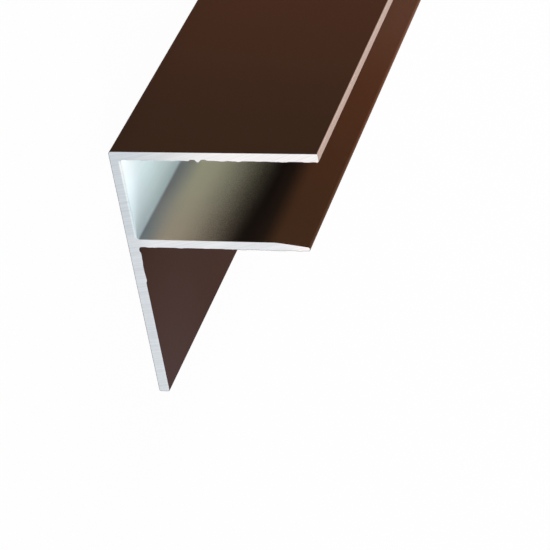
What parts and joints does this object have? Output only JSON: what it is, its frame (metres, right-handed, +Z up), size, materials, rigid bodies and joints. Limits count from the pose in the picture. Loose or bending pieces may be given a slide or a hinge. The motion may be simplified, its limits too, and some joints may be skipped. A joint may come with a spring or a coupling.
{
  "type": "aluminium extrusion profile",
  "caption": "Straight F-section aluminium extrusion, coated brown with bare sawn ends: its channel holds a glazing sheet's edge and its flat leaf screws to the support.",
  "frame": {"origin": "under the middle of the back's outer face, on the floor that the profile lies on, halfway along its length", "axes": "+Z up along the flanges and out of the channel's mouth, +Y along the stock, +X across the back from the top flange to the leaf's free edge"},
  "size_m": [0.052, 1, 0.038],
  "materials": {
    "brown_coat": "satin"
  },
  "bodies": {
    "root": {"f_profile": "brown_coat"}
  },
  "joints": []
}
